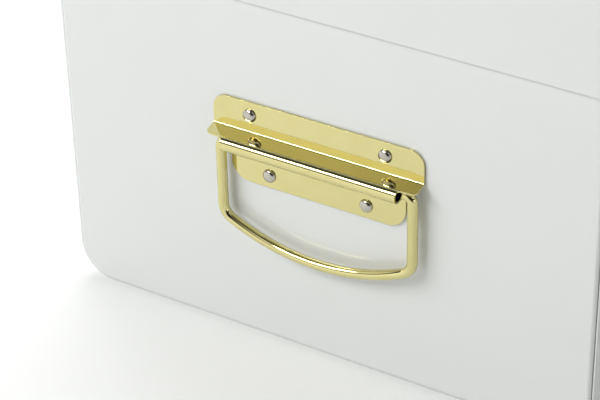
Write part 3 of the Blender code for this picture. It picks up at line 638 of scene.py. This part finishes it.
def make_hinges():
    """Two butt hinges on the back, each with two leaves that roll round one pin, and their rivets."""
    bore = PIN_RADIUS + FIT - ROUND_ROOM
    pin_out = LID_PROUD + FIT + FITTING_SHEET + FIT + PIN_RADIUS
    lid_skin = pin_out - bore
    case_skin = FIT + FITTING_SHEET
    joggle = bore + FITTING_SHEET + JOGGLE_ROOM
    notch = bore + FITTING_SHEET + KNUCKLE_ROOM
    foot, foot_half = rounded_end(case_skin, -LEAF_LENGTH, 1, HINGE_HALF, FITTING_CORNER)
    case_leaf = joined(
        (arc((pin_out, 0), bore, 180 - KNUCKLE_ROLL, 180, 40), HINGE_HALF),
        ([[lid_skin, -notch], [lid_skin, -joggle], [case_skin, -joggle - JOGGLE_RUN]], HINGE_HALF),
        (foot[::-1], foot_half[::-1]),
    )
    lid_leaf = joined(
        rounded_end(lid_skin, LID_LEAF_TOP, -1, HINGE_HALF, FITTING_CORNER),
        ([[lid_skin, notch]], HINGE_HALF),
        (arc((pin_out, 0), bore, 180, 180 + KNUCKLE_ROLL, 40), HINGE_HALF),
    )
    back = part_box("case_wrap")[1].y
    for side, name in ((1, "right"), (-1, "left")):
        at = seat(side * HINGE_SPREAD, back, SEAM_HEIGHT - HINGE_DROP, 90)
        label = "hinge_" + name
        for part, (profile, half), inner in (
            ("case", case_leaf, KNUCKLE_HALF), ("lid", lid_leaf, KNUCKLE_HALF - FIT),
        ):
            points, faces = leaf_grid(profile, half, inner, part == "case", notch)
            piece(
                label + "_" + part + "_plate", moved(points, at), faces, label + "_" + part + "_leaf",
                at.translation, FITTING_SHEET, FITTING_EDGE,
            )
        make_pin(label + "_pin", at @ Matrix.Translation((pin_out, 0, 0)), PIN_RADIUS, HINGE_HALF + FIT)
    for part, skin in (("case", back + case_skin), ("lid", back + lid_skin)):
        for number in range(1, 5):
            cad_node = "hinge_" + part + "_rivet_" + str(number)
            low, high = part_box(cad_node)
            middle = (low + high) / 2
            make_rivet(cad_node, seat(middle.x, skin, middle.z, 90), SMALL_RIVET, SMALL_SHANK_LENGTH)


# ---------------------------------------------------------------- draw latches

def lug_shape():
    """A lug's side: a bar from the plate that ends in a half round about the pin, as (out, up)."""
    nose = arc((LATCH_PIN_OUT, 0), LUG_RADIUS, -90, 90, 20)
    heel = FIT + FITTING_SHEET / 2
    return np.concatenate([[[heel, -LUG_RADIUS]], nose, [[heel, LUG_RADIUS]]])


def lever_grid():
    """The lever's channel: a U of cheek, bend, face, bend and cheek at every height.

    The cheeks run back to -LEVER_BACK down to LEVER_CHEEK below the pivot, and to a shallow flange
    lower down. Between the two is a cosine ramp, LEVER_RAMP long.
    """
    ramp_end = -LEVER_CHEEK - LEVER_RAMP
    heights = np.concatenate([
        np.linspace(LEVER_ABOVE, -LEVER_CHEEK, 6), np.linspace(-LEVER_CHEEK, ramp_end, 12)[1:],
        np.linspace(ramp_end, -LEVER_BELOW, 6)[1:],
    ])
    ramp = np.clip((-LEVER_CHEEK - heights) / LEVER_RAMP, 0, 1)
    back = -LEVER_BACK + (1 - np.cos(np.pi * ramp)) / 2 * (LEVER_REACH - CHEEK_DEPTH + LEVER_BACK)
    centre = (LEVER_REACH - LEVER_BEND, LEVER_HALF - LEVER_BEND)
    right = arc(centre, LEVER_BEND, 90, 0, 8)
    left = right[::-1] * [1, -1]
    rows = []
    for height, free in zip(heights, back):
        outline = np.concatenate([[[free, LEVER_HALF]], right, left, [[free, -LEVER_HALF]]])
        rows.append(np.column_stack([outline, np.full(len(outline), height)]))
    return np.array(rows)


def base_sheet():
    """The latch's base plate, as (profile, half widths)."""
    skin = FIT + FITTING_SHEET
    foot, foot_half = rounded_end(skin, -BASE_BELOW, 1, BASE_HALF, FITTING_CORNER)
    return joined(
        rounded_end(skin, BASE_ABOVE, -1, BASE_HALF, FITTING_CORNER), (foot[::-1], foot_half[::-1]),
    )


def catch_sheet():
    """The catch on the lid: a plate that ends in a half-round hook and a lip, as (profile, half widths)."""
    lip, lip_half = rounded_end(
        CATCH_SKIN + 2 * HOOK_RADIUS, HOOK_HEIGHT + HOOK_LIP, -1, CATCH_HALF, FITTING_CORNER / 2
    )
    return joined(
        rounded_end(CATCH_SKIN, CATCH_TOP + LATCH_DROP, -1, CATCH_HALF, FITTING_CORNER),
        (arc((CATCH_SKIN + HOOK_RADIUS, HOOK_HEIGHT), HOOK_RADIUS, 180, 360, 24), CATCH_HALF),
        (lip[::-1], lip_half[::-1]),
    )


def loop_wire():
    """The loop's bent wire and faces, and the lean that brings its bar in front of the hook.

    Each side leaves the lever's cheek, bends up, runs straight and turns a corner into the bar.
    """
    lip_out = CATCH_SKIN + 2 * HOOK_RADIUS + FITTING_SHEET
    bar_out = lip_out + LOOP_STAND_OFF + LOOP_WIRE - LOOP_PIVOT_OUT
    bar_up = HOOK_HEIGHT + BAR_OVER_HOOK + LOOP_PIVOT_DROP
    length = np.linalg.norm([bar_out, bar_up])
    half = LEVER_HALF + LOOP_SIDE_ROOM + LOOP_WIRE
    bend = LOOP_WIRE * 1.5
    side = np.concatenate([
        [[LEVER_HALF - FITTING_SHEET - 2 * FIT, 0]], arc((half - bend, bend), bend, -90, 0, 10),
        np.column_stack([np.full(8, half), np.linspace(bend, length - LOOP_CORNER, 10)[1:-1]]),
        arc((half - LOOP_CORNER, length - LOOP_CORNER), LOOP_CORNER, 0, 90, 12),
    ])
    flat = np.concatenate([side, side[::-1] * [-1, 1]])
    wire, faces = tube(np.column_stack([np.zeros(len(flat)), flat]), LOOP_WIRE, 18)
    return wire, faces, Matrix.Rotation(math.atan2(bar_out, bar_up), 4, "Y")


def make_latches():
    """Two draw latches on the front: base with lugs, catch, lever channel, wire loop and pin."""
    front = -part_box("case_wrap")[1].y
    base = base_sheet()
    catch = catch_sheet()
    lever = lever_grid()
    lug = lug_shape()
    wire, wire_faces, lean = loop_wire()
    for side, name in ((1, "right"), (-1, "left")):
        at = seat(side * LATCH_SPREAD, front, SEAM_HEIGHT - LATCH_DROP, -90)
        label = "latch_" + name
        inside = at @ Vector((-20 * MM, 0, 0))
        for part, (profile, widths), cad_node in (("plate", base, "_base"), ("hook", catch, "_catch")):
            faces = grid_faces(len(profile), 2).reshape(-1, 4).tolist()
            shape = moved(strip(profile, widths), at)
            piece(label + "_" + part, shape, faces, label + cad_node, inside, FITTING_SHEET, FITTING_EDGE)
        for place, y in (("far", -LUG_INNER), ("near", LUG_INNER + FITTING_SHEET)):
            face = np.column_stack([lug[:, 0], np.full(len(lug), y), lug[:, 1]])
            behind = at @ Vector((LATCH_PIN_OUT, y - 20 * MM, 0))
            piece(
                label + "_lug_" + place, moved(face, at), [list(range(len(lug)))],
                label + "_base", behind, FITTING_SHEET, LUG_EDGE,
            )
        pivot = at @ Matrix.Translation((LATCH_PIN_OUT, 0, 0))
        faces = grid_faces(*lever.shape[:2]).reshape(-1, 4).tolist()
        middle = pivot @ Vector((-3 * MM, 0, -12 * MM))
        piece(
            label + "_channel", moved(lever, pivot), faces, label + "_lever",
            middle, FITTING_SHEET, LEVER_EDGE,
        )
        hang = at @ Matrix.Translation((LOOP_PIVOT_OUT, 0, -LOOP_PIVOT_DROP)) @ lean
        piece(label + "_bent_wire", moved(wire, hang), wire_faces, label + "_loop")
        make_pin(label + "_pin", pivot, LATCH_PIN, LEVER_HALF + FIT)


# ---------------------------------------------------------------- trays and rails

def make_rails():
    """Angle strips: a flat shelf, a quarter-round bend and a leg down the end wall."""
    for cad_node in [name for name in frame["nodes"] if "_rail_" in name]:
        low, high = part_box(cad_node)
        side = 1 if high.x > 0 else -1
        inner, wall = sorted((abs(low.x), abs(high.x)))
        profile, half = joined(
            ([[inner, high.z]], high.y),
            (arc((wall - RAIL_BEND, high.z - RAIL_BEND), RAIL_BEND, 90, 0, 10), high.y),
            ([[wall, low.z]], high.y),
        )
        at = Matrix.Rotation(0 if side > 0 else math.pi, 4, "Z")
        faces = grid_faces(len(profile), 2).reshape(-1, 4).tolist()
        away = at @ Vector((inner, 0, low.z))
        shape = moved(strip(profile, half), at)
        piece(cad_node + "_angle", shape, faces, cad_node, away, FITTING_SHEET, RAIL_EDGE)


def rounded_rectangle(low, high, corner, steps=10):
    """A rectangle's outline with quarter-round corners, and the outward normal at each point."""
    outline, normals = [], []
    corners = ((high[0], high[1]), (low[0], high[1]), (low[0], low[1]), (high[0], low[1]))
    for turn, (x, y) in zip((0, 90, 180, 270), corners):
        normal = arc((0, 0), 1, turn, turn + 90, steps)
        centre = (x - corner if x == high[0] else x + corner, y - corner if y == high[1] else y + corner)
        outline.append(np.array(centre) + corner * normal)
        normals.append(normal)
    return np.concatenate(outline), np.concatenate(normals)


def make_pan(cad_node):
    """A pressed tray: floor, a foot bend of radius r, straight walls, and a flat lip out of each end.

    At bend angle t the wall stands r * (1 - sin t) inside the outline and r * (1 - cos t) above the floor.
    """
    low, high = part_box(cad_node)
    rim = high.z - TRAY_SHEET
    body = PAN_HALF[cad_node]
    outline, normals = rounded_rectangle((-body, low.y), (body, high.y), TRAY_CORNER)
    bend = np.radians(np.linspace(0, 90, 8))
    inset = np.append(TRAY_FOOT * (1 - np.sin(bend)), 0)
    rise = np.append(TRAY_FOOT * (1 - np.cos(bend)), rim - low.z)
    flat = outline[None] - inset[:, None, None] * normals[None]
    z = np.broadcast_to((low.z + rise)[:, None, None], (*flat.shape[:2], 1))
    points = np.concatenate([flat, z], axis=-1)
    count = len(outline)
    faces = grid_faces(len(inset), count, around=True).reshape(-1, 4).tolist() + [list(range(count))]
    top = (len(inset) - 1) * count
    steps = count // 4
    lips = []
    for side, first, last in ((1, 0, count - 1), (-1, 2 * steps - 1, 2 * steps)):
        for index in (first, last):
            lips.append([side * high.x, points[-1, index, 1], rim])
        ends = points.shape[0] * count + len(lips) - 2
        faces.append([top + first, top + last, ends + 1, ends])
    flat_points = np.concatenate([points.reshape(-1, 3), np.array(lips)])
    middle = (0, (low.y + high.y) / 2, rim - 1 * MM)
    piece(cad_node + "_pressing", flat_points, faces, cad_node, middle, TRAY_SHEET, PAN_EDGE)


def make_dividers(tray):
    """Upright sheets: the long one notched from above, the crosses from below, where they pass.

    Each is a grid of two rows whose notched quads are left out.
    """
    names = sorted(name for name in frame["nodes"] if name.startswith(tray) and "divider" in name)
    boxes = {name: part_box(name) for name in names}
    long_name = tray + "_long_divider"
    crosses = [name for name in names if name != long_name]
    low, high = boxes[long_name]
    slot = DIVIDER_SHEET / 2 + FIT
    halfway = (low.z + high.z) / 2
    edges = [low.x]
    for cross in crosses:
        middle = (boxes[cross][0].x + boxes[cross][1].x) / 2
        edges += [middle - slot, middle + slot]
    edges.append(high.x)
    x, z = np.meshgrid(edges, [low.z, halfway - FIT, high.z])
    points = np.stack([x, np.full_like(x, high.y), z], axis=-1)
    keep = np.ones((2, len(edges) - 1), bool)
    keep[1, 1::2] = False
    piece(
        long_name + "_sheet", points, gapped(points, keep), long_name,
        (0, low.y - 1, halfway), high.y - low.y, DIVIDER_EDGE,
    )
    line = (low.y + high.y) / 2
    for cross in crosses:
        low, high = boxes[cross]
        y, z = np.meshgrid([low.y, line - slot, line + slot, high.y], [low.z, halfway, high.z])
        points = np.stack([np.full_like(y, high.x), y, z], axis=-1)
        keep = np.array([[True, False, True], [True, True, True]])
        piece(
            cross + "_sheet", points, gapped(points, keep), cross,
            (low.x - 1, line, halfway), high.x - low.x, DIVIDER_EDGE,
        )


# ---------------------------------------------------------------- floor, light and camera

def soft_light(name, at, aim, size, power):
    """A white softbox of that size and power, in metres and watts, turned towards its aim."""
    lamp = bpy.data.lights.new(name, "AREA")
    lamp.shape = "RECTANGLE"
    lamp.size, lamp.size_y = size
    lamp.energy = power
    made = bpy.data.objects.new(name, lamp)
    bpy.context.scene.collection.objects.link(made)
    made.location = at
    made.rotation_euler = (Vector(aim) - Vector(at)).to_track_quat("-Z", "Y").to_euler()


def make_floor():
    """A plain sheet of pale paper."""
    side = FLOOR_HALF
    corners = [(-side, -side, 0), (side, -side, 0), (side, side, 0), (-side, side, 0)]
    floor = bpy.data.meshes.new("floor")
    floor.from_pydata(corners, [], [(0, 1, 2, 3)])
    ground = bpy.data.objects.new("floor", floor)
    bpy.context.scene.collection.objects.link(ground)
    paper, _, _ = finish("white_paper", "#F4F5F3", 0, 0.6)
    floor.materials.append(paper)


def make_sky():
    """A studio round the box: bright and dark bands by height, and one dark patch that plating mirrors."""
    world = bpy.data.worlds.new("studio")
    bpy.context.scene.world = world
    world.use_nodes = True
    tree = world.node_tree
    sky = tree.nodes["Background"]
    place = node(tree, "ShaderNodeTexCoord")
    split = node(tree, "ShaderNodeSeparateXYZ", Vector=place.outputs["Generated"])
    height = node(tree, "ShaderNodeMapRange", {"From Min": -1.0, "From Max": 1.0}, Value=split.outputs["Z"])
    bands = node(tree, "ShaderNodeValToRGB", Fac=height.outputs[0])
    ramp = bands.color_ramp.elements
    for _ in range(len(SKY_BANDS) - 2):
        ramp.new(0.5)
    for stop, (at, level) in zip(ramp, SKY_BANDS):
        stop.position = at
        stop.color = (level, level, level, 1)
    tree.links.new(bands.outputs["Color"], sky.inputs["Color"])
    toward = node(
        tree, "ShaderNodeVectorMath", {"operation": "DOT_PRODUCT"}, Vector=place.outputs["Generated"],
    )
    toward.inputs[1].default_value = Vector(DARK_PATCH_TOWARD).normalized()
    behind = node(
        tree, "ShaderNodeMapRange", {"From Min": 0.80, "From Max": 0.90, "To Min": 0.94, "To Max": 0.04},
        Value=toward.outputs["Value"],
    )
    tree.links.new(behind.outputs[0], sky.inputs["Strength"])


def make_studio():
    """Floor, sky and two softboxes."""
    make_floor()
    make_sky()
    soft_light("key_softbox", (1.6, -1.05, 1.7), (0.19, 0, 0.1), (1.5, 0.34), 35)
    soft_light("top_softbox", (-1.0, -0.9, 2.4), (0, 0, 0), (1.6, 1.6), 24)


def make_camera():
    """A long lens that looks down on the box's end from its back right."""
    yaw, pitch, roll = (math.radians(turn) for turn in (CAMERA_YAW, CAMERA_PITCH, CAMERA_ROLL))
    level = math.cos(pitch)
    ahead = Vector((-math.cos(yaw) * level, -math.sin(yaw) * level, -math.sin(pitch)))
    right = Vector((-math.sin(yaw), math.cos(yaw), 0))
    up = right.cross(ahead)
    cosine, sine = math.cos(roll), math.sin(roll)
    right, up = cosine * right + sine * up, cosine * up - sine * right
    lens = bpy.data.cameras.new("long_lens")
    lens.lens = CAMERA_LENS
    lens.sensor_width = 36
    lens.clip_start = 0.05
    camera = bpy.data.objects.new("long_lens", lens)
    bpy.context.scene.collection.objects.link(camera)
    turn = Matrix((right, up, -ahead)).transposed().to_4x4()
    camera.matrix_world = Matrix.Translation(CAMERA_AT) @ turn
    bpy.context.scene.camera = camera


make_camera()
make_shell()
make_handles()
make_hinges()
make_latches()
make_rails()
for tray in ("upper_tray", "lower_tray"):
    make_pan(tray + "_pan")
    make_dividers(tray)
make_studio()
bpy.context.scene.view_settings.view_transform = "Standard"
